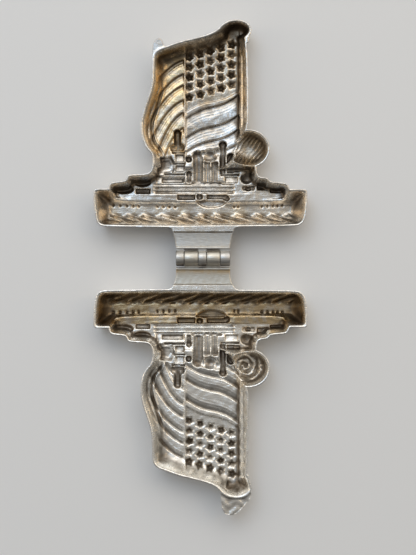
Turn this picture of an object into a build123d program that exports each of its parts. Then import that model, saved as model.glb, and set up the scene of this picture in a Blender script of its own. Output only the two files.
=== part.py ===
from build123d import *
from math import cos, pi, radians, sin, tan
import os

os.makedirs("parts", exist_ok=True)

# A pewter ice cream mould in two hinged castings, lying open flat with both hollows up.
# Every outline is drawn from the hinge pin: x runs along the ship from bow to stern,
# v runs out from the pin towards the flagpole's tip, and depths go down from the parting
# face. The two halves are mirror images about the pin. All sizes are in millimetres.

# Driving dimensions: the castings
rim_width = 1.6            # flat land round each hollow, where the halves meet
parting_gap = 0.05         # the parting face lies this far below the pin's axis
floor_wall = 2.4           # metal under the hull's floor
outer_draft = 9.0          # slope of the outside walls, in degrees
inner_draft = 27.0         # slope of the hollow's walls, in degrees
deck_draft = 12.0          # slope of the walls round the decks and the tower, in degrees
relief_root = 0.4          # a detail starts this far above the floor that it goes down from

# Driving dimensions: the hull
hull_length = 118.0
hull_depth = 11.5
keel_v = 17.8
deck_v = 38.0
stem_rake = 1.3
bilge_radius = 3.0
deck_corner_radius = 0.9

# Driving dimensions: portholes and waves along the hull
porthole_radius = 0.55
porthole_relief = 0.45
porthole_drop = 1.7                                   # below the sheer line
porthole_rows = ((-48.5, 5, 3.7), (-24.0, 4, 3.3), (19.0, 2, 2.3), (34.4, 5, 2.9))
wave_count = 8
wave_pitch = 12.0
wave_half_length = 5.4
wave_half_height = 1.5
wave_tilt = 22.0
wave_relief = 0.8

# Driving dimensions: the stepped decks, as distances from the middle of the ship
deck_depth = 11.0
deck_root_v = 25.0
bow_step_x = 50.0
bow_house_x = 40.0
stern_step_x = 48.5
stern_house_x = 37.0
step_rise = 4.3
house_rise = 4.9
deck_top_v = 49.0
deck_top_x = 31.4

# Driving dimensions: the flag, its pole and its finial
flag_depth = 10.2
flag_root_v = 44.0
fly_x = -26.4
belly_x = -32.8
belly_v = 72.0
belly_foot_v = 66.0
belly_foot_radius = 12.0
fly_foot_v = 56.5
fly_straight_v = 98.0
fly_corner_v = 116.4
fly_corner_radius = 7.0
hoist_bend_x = 3.6
hoist_bend_v = 123.2
hoist_top_x = 12.0
hoist_top_v = 128.2
hoist_bend_radius = 16.0
pole_edge_x = 26.5
pole_ledge_width = 2.6
pole_ledge_depth = 3.5
pole_radius = 1.1
pole_tip_v = 119.0
finial_left_x = 11.4
finial_right_x = 28.4
finial_height = 12.4       # how far the finial stands out past the pole's tip
finial_depth = 8.6
finial_draft = 12.0
finial_corner_radius = 3.0

# Driving dimensions: stars and stripes sunk in the flag's field
star_radius = 2.6
star_waist = 1.25
star_relief = 1.3
star_columns = 5
star_rows = 5
star_pitch_x = 6.1
star_pitch_v = 5.7
star_column_lift = 1.6     # each column starts this much further out than the one before
first_star_x = -6.0
first_star_v = 89.6
fold_x = -8.9              # the upright fold between the flag's two waves
fold_width = 0.9
fold_top_v = 112.0
stripe_width = 3.2
stripe_relief = 0.9
hoist_stripes = 3
hoist_stripe_v = 87.6      # middle of the first stripe, at the pole
hoist_stripe_fall = 12.4   # how far it falls from the pole to the fold
hoist_stripe_pitch = 9.0
fly_stripe_v = 108.5       # middle of the first stripe, at the fold
fly_stripe_fall = 13.0     # how far it falls from the fold to the fly
fly_stripe_pitch = 9.0
fly_stripe_end_x = (-18.4, -20.4, -22.8, -22.0)

# Driving dimensions: the superstructure that stands in front of the flag
tower_depth = 10.6
tower_root_v = 34.0
tower_top_v = 61.0
tower_left_x = -26.4
tower_right_x = 31.0
block_relief = 1.1
block_draft = 12.0
# Blocks: left x, right x, then foot and top as heights above the hull's deck edge
deck_blocks = (
    (-45.6, -37.8, -2.4, 0.3),      # bow turret
    (-35.4, -27.4, -2.4, 0.3),      # bow casemate
    (-35.4, -27.4, 2.0, 5.0),       # upper bow turret
    (-12.8, -2.8, -5.0, -1.8),      # forward gun port
    (3.8, 14.8, -4.8, -1.6),        # after gun port
    (-21.5, 16.0, -0.4, 0.6),       # long deck strake
    (20.4, 27.0, 3.0, 6.8),         # stern house
    (28.2, 32.8, 0.6, 2.5),         # upper stern turret
    (29.6, 36.2, -3.0, -0.4),       # stern casemate
    (38.2, 44.2, -3.0, 0.2),        # stern turret
)
tower_blocks = (
    (-22.2, -9.0, 3.2, 7.8),        # foot of the foremast tower
    (-19.8, -8.4, 8.8, 10.4),       # tower platform
    (-14.6, -9.6, 10.4, 22.0),      # tower shaft
    (-17.4, -8.6, 22.0, 25.6),      # fighting top
    (14.4, 20.4, 4.8, 19.0),        # pilot house
    (12.6, 24.4, 11.8, 13.4),       # bridge platform
)
# Rods: x, foot and top above the deck edge, radius
rod_sink = 1.2             # how far a rod reaches below the floor
rods = (
    (-12.2, 25.6, 31.6, 1.6),       # foremast
    (-6.4, 3.4, 9.6, 1.2),          # ventilator
    (-1.0, 4.0, 20.2, 2.4),         # first funnel
    (4.0, 4.4, 15.2, 1.7),          # second funnel
    (8.0, 4.4, 15.2, 1.7),          # third funnel
    (12.6, 7.6, 26.4, 1.1),         # mainmast
)
# Balls of smoke: x, height above the deck edge, radius
smoke_balls = ((-1.4, 21.2, 2.9), (5.4, 19.6, 3.5))
smoke_sink = 1.6           # how far a ball reaches below the floor
boat_x = 6.2
boat_half_length = 9.6
boat_top = -3.0            # the boat's gunwale, above the hull's deck edge
boat_sag = 4.6
boat_relief = 0.8

# Driving dimensions: the puff of smoke at the pole's foot
puff_x = 26.3
puff_v = 60.3
puff_half_length = 12.0
puff_half_height = 10.6
puff_depth = 10.4
bowl_sections = ((0.0, 1.0), (0.35, 0.93), (0.75, 0.7), (1.0, 0.32))   # depth share, size share

# Driving dimensions: the tab on the upper half and the lug on the lower half
tab_thickness = 2.6
tab_reach = 4.8
tab_width = 6.8
tab_root = 6.4
lug_thickness = 4.2
lug_reach = 9.4
lug_slope = 9.0

# Driving dimensions: the hinge
hinge_x = 1.6
barrel_radius = 4.2
knuckle_lengths = (4.4, 7.5, 4.5, 7.2, 5.4)
knuckle_gap = 0.15
upper_knuckles = (0, 2, 4)
lower_knuckles = (1, 3)
pin_radius = 1.5
pin_hold_clearance = 0.02
pin_running_clearance = 0.06
notch_clearance = 0.55
leaf_top_drop = 1.0        # the leaves' top lies this far below the pin's axis
leaf_rim_width = 33.4
ledge_v = 14.8
ledge_below_leaf = 1.4
bead_width = 1.5
bead_height = 0.5
solder_leg = 0.8
solder_end_margin = 0.6

# Values worked out from the driving dimensions
casting_depth = hull_depth + floor_wall
finial_top_v = pole_tip_v + finial_height
lug_tip_v = finial_top_v + lug_reach
pin_y = (lug_tip_v - finial_top_v) / 2
pin_z = casting_depth + parting_gap
hull_half = hull_length / 2
wall_run = hull_depth * tan(radians(inner_draft))
sheer_v = deck_v - rim_width - wall_run
pole_ledge_x = pole_edge_x - rim_width - pole_ledge_width
pole_x = pole_ledge_x + pole_ledge_width / 2
barrel_length = sum(knuckle_lengths) + knuckle_gap * (len(knuckle_lengths) - 1)
notch_v = barrel_radius + notch_clearance
leaf_thickness = barrel_radius - leaf_top_drop
leaf_middle_depth = leaf_top_drop + leaf_thickness / 2

# The planes that everything is placed by
pin_plane = Plane(origin=(0, pin_y, pin_z))
parting = pin_plane.offset(-parting_gap)
across_hinge = Plane(origin=(hinge_x, pin_y, pin_z), x_dir=(0, 1, 0), z_dir=(1, 0, 0))
mirror_plane = Plane(origin=(0, pin_y, 0), x_dir=(1, 0, 0), z_dir=(0, 1, 0))
wave_plane = Plane(
    origin=(0, pin_y + keel_v + rim_width + wall_run / 2, casting_depth - hull_depth / 2),
    x_dir=(1, 0, 0),
    z_dir=(0, -cos(radians(inner_draft)), -sin(radians(inner_draft))),
)


# Outlines of the casting, region by region
with BuildSketch() as hull_outline:
    with BuildLine():
        FilletPolyline(
            (-hull_half, deck_v),
            (-hull_half + stem_rake, keel_v),
            (hull_half - stem_rake, keel_v),
            (hull_half, deck_v),
            radius=(deck_corner_radius, bilge_radius, bilge_radius, deck_corner_radius),
            close=True,
        )
    make_face()

with BuildSketch() as deck_outline:
    with BuildLine():
        Polyline(
            (-bow_step_x, deck_root_v),
            (-bow_step_x, deck_v + step_rise),
            (-bow_house_x, deck_v + step_rise),
            (-bow_house_x, deck_v + step_rise + house_rise),
            (tower_left_x, deck_top_v),
            (deck_top_x, deck_top_v),
            (deck_top_x, deck_v + step_rise + house_rise / 2),
            (stern_house_x, deck_v + step_rise + house_rise / 2),
            (stern_house_x, deck_v + step_rise),
            (stern_step_x, deck_v + step_rise),
            (stern_step_x, deck_root_v),
            close=True,
        )
    make_face()

with BuildSketch() as tower_outline:
    with BuildLine():
        Polyline(
            (tower_left_x, tower_root_v),
            (tower_left_x, tower_top_v),
            (tower_right_x, tower_top_v),
            (tower_right_x, tower_root_v),
            close=True,
        )
    make_face()


def flag_edge(hoist_x):
    """The flag's outline, with its hoist side at hoist_x and its free edge bellied by the wind."""
    Line((fly_x, flag_root_v), (hoist_x, flag_root_v))
    Line((hoist_x, flag_root_v), (hoist_x, pole_tip_v))
    Line((hoist_x, pole_tip_v), (hoist_top_x, hoist_top_v))
    RadiusArc((hoist_top_x, hoist_top_v), (hoist_bend_x, hoist_bend_v), hoist_bend_radius)
    Line((hoist_bend_x, hoist_bend_v), (fly_x, fly_corner_v))
    Line((fly_x, fly_corner_v), (fly_x, fly_straight_v))
    turn = ((fly_x + belly_x) / 2, (fly_straight_v + belly_v) / 2)
    shoulder = TangentArc((fly_x, fly_straight_v), turn, tangent=(0, -1))
    TangentArc(turn, (belly_x, belly_v), tangent=shoulder % 1)
    Line((belly_x, belly_v), (belly_x, belly_foot_v))
    Line((belly_x, belly_foot_v), (fly_x, fly_foot_v))
    Line((fly_x, fly_foot_v), (fly_x, flag_root_v))


def round_flag(sketch):
    """Round the flag's outer top corner and the foot of its belly."""
    corners = sketch.vertices()
    fillet(corners.sort_by_distance((fly_x, fly_corner_v))[0], radius=fly_corner_radius)
    fillet(corners.sort_by_distance((belly_x, belly_foot_v))[0], radius=belly_foot_radius)


with BuildSketch() as flag_outline:
    with BuildLine():
        flag_edge(pole_edge_x)
    make_face()
    round_flag(flag_outline)

with BuildSketch() as flag_field_outline:
    with BuildLine():
        flag_edge(pole_edge_x + flag_depth)
    make_face()
    round_flag(flag_field_outline)

with BuildSketch() as finial_outline:
    with BuildLine():
        FilletPolyline(
            (finial_left_x - finial_corner_radius, pole_tip_v),
            (finial_left_x, finial_top_v),
            (finial_right_x, finial_top_v),
            (finial_right_x, pole_tip_v + finial_corner_radius),
            (pole_edge_x, pole_tip_v),
            radius=finial_corner_radius / 2,
            close=True,
        )
    make_face()


def sink(outline, depth, draft, inset=0.0):
    """Sink an outline down from the parting face, its walls closing in by the draft."""
    with BuildSketch(parting) as mouth:
        add(outline.sketch)
        if inset:
            offset(amount=-inset, mode=Mode.REPLACE)
    extrude(mouth.sketch, amount=-depth, taper=draft)


def puff_bowl(depth, inset):
    """Sink the puff of smoke as an egg-shaped bowl."""
    sections = []
    for depth_share, size_share in bowl_sections:
        with BuildSketch(parting.offset(-depth * depth_share)) as section:
            with Locations((puff_x, puff_v)):
                Ellipse(
                    (puff_half_length - inset) * size_share,
                    (puff_half_height - inset) * size_share,
                )
        sections.append(section.sketch)
    loft(sections)


# The ship as it would come out in ice cream: each form grows down from the parting face
with BuildPart(parting) as hull_form:
    sink(hull_outline, hull_depth, inner_draft, rim_width)
    for first_x, count, pitch in porthole_rows:
        for number in range(count):
            with Locations((first_x + number * pitch, sheer_v - porthole_drop, -hull_depth)):
                Cone(porthole_radius, porthole_radius / 2, 2 * porthole_relief, rotation=(180, 0, 0))
    with BuildSketch(wave_plane.offset(-relief_root)) as wave_crests:
        with GridLocations(wave_pitch, 0, wave_count, 1):
            Ellipse(wave_half_length, wave_half_height, rotation=wave_tilt)
    extrude(amount=wave_relief + relief_root)

with BuildPart(parting) as deck_form:
    sink(deck_outline, deck_depth, deck_draft, rim_width)
    with BuildSketch(parting.offset(relief_root - deck_depth)) as deck_details:
        for left_x, right_x, foot, top in deck_blocks:
            with Locations(((left_x + right_x) / 2, deck_v + (foot + top) / 2)):
                Rectangle(right_x - left_x, top - foot)
    extrude(amount=-(block_relief + relief_root), taper=block_draft)
    with BuildSketch(parting.offset(relief_root - hull_depth)) as boat:
        with BuildLine():
            gunwale_v = deck_v + boat_top
            gunwale = Line(
                (boat_x - boat_half_length, gunwale_v), (boat_x + boat_half_length, gunwale_v)
            )
            ThreePointArc(gunwale @ 0, (boat_x, gunwale_v - boat_sag), gunwale @ 1)
        make_face()
    extrude(amount=-(boat_relief + relief_root))

with BuildPart(parting) as tower_form:
    sink(tower_outline, tower_depth, deck_draft, rim_width)
    with BuildSketch(parting.offset(relief_root - tower_depth)) as tower_details:
        for left_x, right_x, foot, top in tower_blocks:
            with Locations(((left_x + right_x) / 2, deck_v + (foot + top) / 2)):
                Rectangle(right_x - left_x, top - foot)
    extrude(amount=-(block_relief + relief_root))
    for x, foot, top, radius in rods:
        with Locations((x, deck_v + (foot + top) / 2, radius - rod_sink - tower_depth)):
            Cylinder(radius, top - foot, rotation=(90, 0, 0))
        with Locations((x, deck_v + top, radius - rod_sink - tower_depth)):
            Sphere(radius)
    for x, height, radius in smoke_balls:
        with Locations((x, deck_v + height, radius - smoke_sink - tower_depth)):
            Sphere(radius)

# The flag's field runs on past the pole, so that its wall there is the pole's steep ledge
star_points = [
    (
        (star_waist if point % 2 else star_radius) * cos(pi / 2 + point * pi / 5),
        (star_waist if point % 2 else star_radius) * sin(pi / 2 + point * pi / 5),
    )
    for point in range(10)
]
with BuildPart() as star:
    with BuildSketch() as star_face:
        with BuildLine():
            Polyline(*star_points, close=True)
        make_face()
    loft(sections=[star_face.sketch.faces()[0], Vertex(0, 0, -star_relief)], ruled=True)

with BuildPart(parting) as flag_form:
    sink(flag_field_outline, flag_depth, inner_draft, rim_width)
    split(bisect_by=Plane.YZ.offset(pole_ledge_x), keep=Keep.BOTTOM)
    fold_foot_v = deck_v + house_rise + step_rise
    with Locations((fold_x, (fold_foot_v + fold_top_v) / 2, -flag_depth)):
        Box(fold_width, fold_top_v - fold_foot_v, 2 * stripe_relief, mode=Mode.SUBTRACT)
    for number in range(hoist_stripes):
        hoist_v = hoist_stripe_v - number * hoist_stripe_pitch
        with BuildSketch(parting.offset(relief_root - flag_depth)):
            with BuildLine() as stripe_line:
                middle = ((pole_ledge_x + fold_x) / 2, hoist_v - hoist_stripe_fall / 2)
                start = TangentArc((pole_ledge_x - stripe_width / 2, hoist_v), middle, tangent=(-1, -1))
                TangentArc(middle, (fold_x + stripe_width, hoist_v - hoist_stripe_fall), tangent=start % 1)
            SlotArc(stripe_line.wire(), stripe_width)
        extrude(amount=-(stripe_relief + relief_root))
    for number, end_x in enumerate(fly_stripe_end_x):
        fold_v = fly_stripe_v - number * fly_stripe_pitch
        with BuildSketch(parting.offset(relief_root - flag_depth)):
            with BuildLine() as stripe_line:
                TangentArc(
                    (fold_x - stripe_width, fold_v),
                    (end_x, fold_v - fly_stripe_fall),
                    tangent=(-2, -1),
                )
            SlotArc(stripe_line.wire(), stripe_width)
        extrude(amount=-(stripe_relief + relief_root))
    for column in range(star_columns):
        column_v = first_star_v + column * star_column_lift
        for row in range(star_rows):
            star_v = column_v + row * star_pitch_v
            with Locations((first_star_x + column * star_pitch_x, star_v, -flag_depth)):
                add(star.part)

with BuildPart(parting) as pole_form:
    pole_middle_v = (puff_v + pole_tip_v) / 2
    pole_length = pole_tip_v - puff_v
    with BuildSketch(parting):
        with Locations((pole_x, pole_middle_v)):
            Rectangle(pole_ledge_width, pole_length)
    extrude(amount=-pole_ledge_depth)
    with Locations((pole_x, pole_middle_v, -pole_ledge_depth)):
        Cylinder(pole_radius, pole_length, rotation=(90, 0, 0))

with BuildPart() as finial_form:
    sink(finial_outline, finial_depth, finial_draft, rim_width)

with BuildPart() as puff_form:
    puff_bowl(puff_depth, rim_width)


# One half as it was cast: a lump for each region, the ledge for the hinge, less the ship
with BuildPart() as casting:
    sink(hull_outline, casting_depth, outer_draft)
    sink(deck_outline, deck_depth + floor_wall, outer_draft)
    sink(tower_outline, tower_depth + floor_wall, outer_draft)
    sink(flag_outline, casting_depth, outer_draft)
    puff_bowl(puff_depth + floor_wall, 0.0)
    sink(finial_outline, finial_depth + floor_wall, outer_draft)
    with BuildSketch(parting):
        ledge_top_v = keel_v + rim_width
        with Locations((hinge_x, (ledge_v + ledge_top_v) / 2)):
            Rectangle(leaf_rim_width, ledge_top_v - ledge_v)
    extrude(amount=-(barrel_radius + ledge_below_leaf))
    for form in (hull_form, deck_form, tower_form, flag_form, pole_form, finial_form, puff_form):
        add(form.part, mode=Mode.SUBTRACT)


# Sub-parts: the two castings
with BuildPart() as upper_half:
    add(casting.part)
    with BuildSketch(parting):
        with BuildLine():
            Polyline(
                (fly_x, fly_corner_v - tab_root),
                (fly_x, fly_corner_v + tab_reach / 4),
                (fly_x + tab_width / 4, fly_corner_v + tab_reach * 3 / 4),
                (fly_x + tab_width / 2, fly_corner_v + tab_reach),
                (fly_x + tab_width * 3 / 4, fly_corner_v + tab_reach),
                (fly_x + tab_width, fly_corner_v),
                close=True,
            )
        make_face()
    extrude(amount=-tab_thickness, taper=outer_draft)

with BuildPart() as lower_half:
    mirror(casting.part, about=mirror_plane)
    with BuildSketch(parting) as lug_outline:
        with BuildLine():
            FilletPolyline(
                (finial_left_x, -finial_top_v + rim_width),
                (finial_left_x, -lug_tip_v),
                (finial_right_x - lug_slope, -lug_tip_v),
                (finial_right_x, -finial_top_v - rim_width),
                (finial_right_x, -finial_top_v + rim_width),
                radius=rim_width,
                close=True,
            )
        make_face()
    extrude(amount=-lug_thickness, taper=outer_draft)
    add(mirror(finial_form.part, about=mirror_plane, mode=Mode.PRIVATE), mode=Mode.SUBTRACT)


# Sub-parts: the hinge
def hinge_leaf(knuckles, clearance):
    """A tapered leaf running from the casting's ledge to its knuckles on the pin."""
    with BuildSketch(pin_plane.offset(-leaf_top_drop)) as leaf_plan:
        with BuildLine():
            Polyline(
                (hinge_x - barrel_length / 2, notch_v),
                (hinge_x - leaf_rim_width / 2, ledge_v),
                (hinge_x + leaf_rim_width / 2, ledge_v),
                (hinge_x + barrel_length / 2, notch_v),
                close=True,
            )
        make_face()
    extrude(leaf_plan.sketch, amount=-leaf_thickness)
    with Locations((hinge_x, notch_v + bead_width / 2, -leaf_top_drop)):
        Box(barrel_length, bead_width, 2 * bead_height)
    for number in knuckles:
        length = knuckle_lengths[number]
        before = sum(knuckle_lengths[:number]) + number * knuckle_gap
        x = hinge_x - barrel_length / 2 + before + length / 2
        with Locations((x, 0, 0)):
            Cylinder(barrel_radius, length, rotation=(0, 90, 0))
        with Locations((x, notch_v / 2, -leaf_middle_depth)):
            Box(length, notch_v, leaf_thickness)
        with Locations((x, 0, 0)):
            Cylinder(pin_radius + clearance, length, rotation=(0, 90, 0), mode=Mode.SUBTRACT)


with BuildPart(pin_plane) as upper_hinge_leaf:
    hinge_leaf(upper_knuckles, pin_hold_clearance)

with BuildPart(pin_plane) as lower_hinge_leaf:
    hinge_leaf(lower_knuckles, pin_running_clearance)
    mirror(about=mirror_plane, mode=Mode.REPLACE)

with BuildPart(pin_plane) as hinge_pin:
    with Locations((hinge_x, 0, 0)):
        Cylinder(pin_radius, barrel_length, rotation=(0, 90, 0))

# The solder lies in the corners above and below each leaf, where it meets its ledge
with BuildPart() as upper_solder_seam:
    with BuildSketch(across_hinge):
        for face_height, rise in ((-leaf_top_drop, solder_leg), (-barrel_radius, -solder_leg)):
            with BuildLine():
                Polyline(
                    (ledge_v, face_height),
                    (ledge_v - solder_leg, face_height),
                    (ledge_v, face_height + rise),
                    close=True,
                )
            make_face()
    extrude(amount=leaf_rim_width / 2 - solder_end_margin, both=True)

with BuildPart() as lower_solder_seam:
    mirror(upper_solder_seam.part, about=mirror_plane)


upper_half.part.label = "upper_half"
lower_half.part.label = "lower_half"
upper_hinge_leaf.part.label = "upper_hinge_leaf"
lower_hinge_leaf.part.label = "lower_hinge_leaf"
hinge_pin.part.label = "hinge_pin"
upper_solder_seam.part.label = "upper_solder_seam"
lower_solder_seam.part.label = "lower_solder_seam"

export_step(upper_half.part, "parts/upper_half.step")
export_step(lower_half.part, "parts/lower_half.step")
export_step(upper_hinge_leaf.part, "parts/upper_hinge_leaf.step")
export_step(lower_hinge_leaf.part, "parts/lower_hinge_leaf.step")
export_step(hinge_pin.part, "parts/hinge_pin.step")
export_step(upper_solder_seam.part, "parts/upper_solder_seam.step")
export_step(lower_solder_seam.part, "parts/lower_solder_seam.step")
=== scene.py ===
# %% [markdown]
# # A pewter ice cream mould, open flat
# The real object is two pewter castings on one hinge. Each casting is a hollow in the shape of a
# battleship under a waving flag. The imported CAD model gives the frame: every piece made here lies
# in the same place, in metres, and rides on the body that carries it.

from math import cos, pi, radians, sin, tan

import bmesh
import bpy
import numpy as np
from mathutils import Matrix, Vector


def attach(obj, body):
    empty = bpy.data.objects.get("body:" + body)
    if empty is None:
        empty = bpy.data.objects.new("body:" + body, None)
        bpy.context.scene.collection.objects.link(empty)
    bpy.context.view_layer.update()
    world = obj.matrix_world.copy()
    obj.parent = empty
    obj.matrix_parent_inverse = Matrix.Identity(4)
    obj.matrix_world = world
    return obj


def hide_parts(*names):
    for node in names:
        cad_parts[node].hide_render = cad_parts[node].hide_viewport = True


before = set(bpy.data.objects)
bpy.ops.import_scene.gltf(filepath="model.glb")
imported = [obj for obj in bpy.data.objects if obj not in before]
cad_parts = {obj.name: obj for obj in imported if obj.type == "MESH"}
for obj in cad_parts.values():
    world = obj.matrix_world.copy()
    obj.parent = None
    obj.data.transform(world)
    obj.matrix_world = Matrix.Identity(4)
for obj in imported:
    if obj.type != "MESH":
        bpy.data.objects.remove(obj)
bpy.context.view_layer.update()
MM = 0.001
PIN_Y = 4.7
PIN_Z = 13.95
PARTING_Z = 13.9

# %% [markdown]
# ## How the castings are shaped
# A hollow mould could be carved with booleans, but a cast relief has hundreds of soft edges.
# A fine grid is easier: each vertex is moved down from the parting face by the depth of the hollow
# there. So the whole ship is written as one depth, built up region by region. All depths are in
# millimetres, x runs along the ship, and v runs out from the hinge pin.

# %% Small tools for writing a relief
def ease(t):
    """0 to 1 with soft ends."""
    t = np.clip(t, 0.0, 1.0)
    return t * t * (3.0 - 2.0 * t)


def soften(corners, rounds=2):
    """Cut the corners of a closed outline, so that it runs round in small steps."""
    ring = np.array(corners, float)
    for _ in range(rounds):
        ahead = np.roll(ring, -1, axis=0)
        ring = np.stack([ring * 0.75 + ahead * 0.25, ring * 0.25 + ahead * 0.75], 1).reshape(-1, 2)
    return ring


def inside(ring, x, v):
    """Distance to an outline, above zero inside it."""
    nearest = np.full(x.shape, 1e9)
    crossings = np.zeros(x.shape, bool)
    for (ax, av), (bx, bv) in zip(ring, np.roll(ring, -1, axis=0)):
        run_x, run_v = bx - ax, bv - av
        along = ((x - ax) * run_x + (v - av) * run_v) / max(run_x**2 + run_v**2, 1e-9)
        along = np.clip(along, 0.0, 1.0)
        nearest = np.minimum(nearest, np.hypot(x - ax - along * run_x, v - av - along * run_v))
        if av != bv:
            over = (av > v) != (bv > v)
            crossings ^= over & (x < ax + (v - av) * run_x / (bv - av))
    return np.where(crossings, nearest, -nearest)


def box_inside(x, v, x0, x1, v0, v1):
    """Distance to an upright rectangle, above zero inside it."""
    return np.minimum(np.minimum(x - x0, x1 - x), np.minimum(v - v0, v1 - v))


print("half way up the ease:", float(ease(0.5)))

# %% Outlines of the casting, region by region
HULL = soften([
    (-50.4, 17.4), (-14.2, 16.9), (19.5, 17.3), (52.6, 17.6), (55.4, 18.6), (57.4, 20.8),
    (58.3, 25.0), (58.8, 30.0), (58.85, 35.4), (58.6, 37.4), (57.6, 38.0), (30.0, 38.0),
    (-30.0, 38.2), (-56.6, 38.4), (-58.2, 38.0), (-58.6, 36.0), (-58.5, 30.6), (-57.7, 23.6),
    (-56.8, 19.4), (-54.6, 17.8),
], 2)
DECKS = soften([
    (-50.9, 28.0), (-50.4, 38.2), (-49.9, 40.6), (-48.6, 41.9), (-41.8, 42.5), (-40.6, 43.3),
    (-40.0, 45.2), (-38.9, 46.0), (-29.6, 46.4), (-27.4, 47.6), (-26.3, 50.0), (-26.0, 54.0),
    (30.8, 54.0), (31.0, 48.6), (31.6, 45.6), (33.2, 44.7), (36.6, 44.3), (37.9, 43.3),
    (38.6, 42.1), (46.6, 41.5), (48.1, 40.7), (49.0, 38.6), (49.9, 37.0), (50.2, 28.0),
], 2)
FLAG = soften([
    (-26.0, 44.0), (-26.0, 55.6), (-27.4, 58.4), (-30.0, 61.0), (-31.8, 65.4), (-32.7, 70.0),
    (-32.75, 74.6), (-31.8, 79.6), (-29.7, 86.0), (-27.6, 92.0), (-26.6, 97.0), (-26.3, 104.0),
    (-26.3, 109.8), (-25.4, 113.2), (-22.6, 115.4), (-19.0, 116.6), (-11.9, 119.3),
    (-3.2, 121.3), (4.6, 123.4), (9.3, 125.8), (11.7, 128.5), (14.0, 130.0), (20.0, 130.0),
    (26.5, 126.0), (26.5, 44.0),
], 2)
FINIAL = soften([
    (8.4, 118.0), (9.2, 125.4), (11.6, 128.6), (15.4, 130.9), (18.6, 131.4), (22.4, 131.4),
    (26.2, 129.7), (28.3, 127.0), (28.1, 124.2), (26.8, 121.0), (26.5, 117.6),
], 2)
FINIAL_PIT = soften([
    (12.6, 122.0), (14.2, 127.6), (15.8, 129.6), (22.6, 130.2), (25.6, 128.2), (26.9, 126.2),
    (25.6, 123.4), (22.6, 121.4), (17.0, 123.6),
], 2)
TAB = soften([
    (-26.4, 108.0), (-26.3, 114.6), (-26.0, 118.2), (-24.4, 120.4), (-22.9, 121.2),
    (-21.4, 121.0), (-19.6, 116.6), (-17.0, 112.0),
], 1)
LUG = soften([
    (11.2, 122.0), (11.2, 130.0), (11.6, 134.6), (12.4, 138.4), (14.2, 140.5), (18.4, 140.6),
    (21.6, 138.6), (24.8, 135.0), (27.6, 131.6), (28.2, 127.0), (26.0, 122.0),
], 2)
LEDGE = [
    (-15.1, 14.8), (18.3, 14.8), (18.5, 15.5), (19.3, 16.5), (21.0, 17.2), (21.2, 22.0),
    (-18.0, 22.0), (-17.8, 17.1), (-16.1, 16.4), (-15.3, 15.5),
]
PUFF = (26.3, 60.3, 12.0, 10.6)
RIM = 1.25
FLAG_FOOT = 54.0
FLAG_FLOOR = 9.0
WAVE_TOP = 27.0
POLE_X = 23.5
DEEPEST_POCKET = 12.8
BACK_DEPTH = 13.9
BACK_RECESS = 0.8
OUTER_DRAFT = radians(9.0)
print("outline points:", {"hull": len(HULL), "decks": len(DECKS), "flag": len(FLAG)})

# %% Depth of the plain hollow
def region_edges(x, v):
    """Distance in from the edge of each region of the casting."""
    rings = {"hull": HULL, "decks": DECKS, "flag": FLAG, "finial": FINIAL}
    return {name: inside(ring, x, v) for name, ring in rings.items()}


def puff_share(x, v, inset):
    """How far out in the puff's oval a point is: 0 in the middle, 1 on its edge."""
    px, pv, half_x, half_v = PUFF
    return np.hypot((x - px) / (half_x - inset), (v - pv) / (half_v - inset))


def bowl(share, depth):
    """Depth of a round-bottomed bowl at a share of its half width."""
    return depth * np.interp(share, [0.0, 0.3, 0.5, 0.7, 0.85, 0.93, 1.0],
                             [1.0, 0.98, 0.9, 0.74, 0.54, 0.36, 0.0])


def body_edge(x, v, edges=None):
    """Distance in from the edge of the casting, without its tab, lug and ledge."""
    edges = edges or region_edges(x, v)
    puff = (1.0 - puff_share(x, v, 0.0)) * PUFF[3]
    return np.maximum.reduce(list(edges.values()) + [puff])


def dished(distance, run, depth, roundness):
    """A wall that starts steep at the rim and rounds off into the floor."""
    left = 1.0 - np.clip(distance / run, 0.0, 1.0)
    return depth * (1.0 - left**roundness)


def plain_hollow(x, v, edges, half):
    """Depth of each region's floor, with its sloping walls."""
    hull_depth = dished(edges["hull"] - RIM, 7.0, 11.4, 1.7)
    deck_depth = dished(edges["decks"] - RIM, 2.6, 10.0, 1.5)
    flag_depth = dished(edges["flag"] - RIM, 7.4, FLAG_FLOOR, 2.1)
    pole = FLAG_FLOOR - (FLAG_FLOOR - 3.4) * ease((x - 21.4) / 1.1)
    flag_depth = np.where(x > 15.0, dished(edges["flag"] - RIM, 3.4, FLAG_FLOOR, 1.6), flag_depth)
    flag_depth = np.minimum(flag_depth, np.where(v > FLAG_FOOT, pole, FLAG_FLOOR))
    if half == "upper":
        pit_depth = dished(inside(FINIAL_PIT, x, v), 2.2, 8.6, 1.5)
    else:
        pit_depth = dished(edges["finial"] - RIM, 5.6, 8.4, 1.3)
    puff_depth = bowl(puff_share(x, v, RIM), 10.4)
    return np.maximum.reduce([hull_depth, deck_depth, flag_depth, pit_depth, puff_depth])


print("puff depth in its middle:", float(bowl(0.0, 10.4)), "mm")

# %% [markdown]
# ## The flag
# In the photograph the flag hangs in soft diagonal bands with a thin line along each. They are
# read here as overlapping shingles: each slopes away and ends in a sharp step, and light from one
# side draws a line along it. A band is written as a ramp that deepens towards its line and drops
# back just past it. The lower half's ramps are narrower and deeper. That was set by eye against
# renders, and isn't a feature of the photograph, where the lines are about as wide in both halves.

# %% Stripes, fold and stars
FOLD_X = -8.5
BAND_STYLE = {"upper": (1.0, 1.0), "lower": (0.62, 1.35)}


def band(distance, width, depth, lip=0.5):
    """A ramp that deepens up to a line, then steps back over the lip."""
    ramp = np.clip(1.0 + distance / width, 0.0, 1.0)
    step = 1.0 - ease(distance / lip)
    return depth * np.where(distance < 0.0, ramp**1.2, step)


def hoist_line(x, start_v, fall):
    """A stripe's line from the pole to the fold: steep at both ends, flat in the middle."""
    t = (21.6 - x) / 30.0
    return start_v - fall * (t + 0.087 * np.sin(2 * pi * t))


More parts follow.
